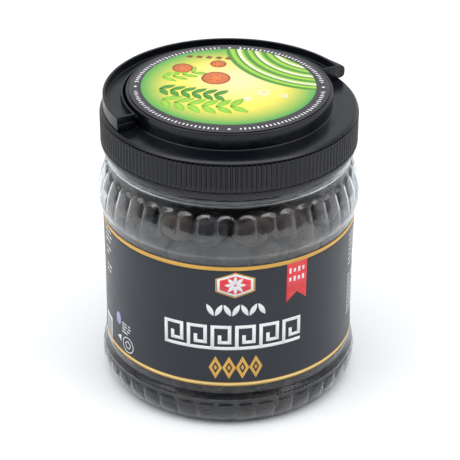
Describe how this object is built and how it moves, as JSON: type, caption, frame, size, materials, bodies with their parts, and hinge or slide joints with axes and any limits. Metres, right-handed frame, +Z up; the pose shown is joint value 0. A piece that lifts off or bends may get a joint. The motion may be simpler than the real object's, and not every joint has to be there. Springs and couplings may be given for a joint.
{
  "type": "jar of olives",
  "caption": "Wide-mouthed clear fluted jar of black olives with a sleeve label, a ribbed black screw cap and a folding carrying handle.",
  "frame": {"origin": "middle of the jar's foot, on the surface it stands on", "axes": "+Z up along the jar's axis, -Y towards the front of the label, +X to the right seen from the front"},
  "size_m": [0.118, 0.118, 0.1419],
  "materials": {
    "clear_plastic": "clear blown plastic, glossy",
    "label_film": "charcoal printed film, satin",
    "olive_skin": "dry-salted black olive skin, wrinkled and slightly oily",
    "black_plastic": "moulded black plastic, satin",
    "printed_paper": "printed disc, green and yellow field in a dark rim, satin"
  },
  "bodies": {
    "closed_jar": {"jar": "clear_plastic", "label": "label_film", "olives": "olive_skin", "cap": "black_plastic", "cap_disc": "printed_paper"},
    "carrying_handle": {"handle": "black_plastic"}
  },
  "joints": [
    {"name": "handle_hinge", "type": "hinge", "parent": "closed_jar", "child": "carrying_handle", "pos_m": [0, 0, 0.1376], "axis": [0.8746, 0.4848, 0], "range_deg": [0, 180]}
  ]
}
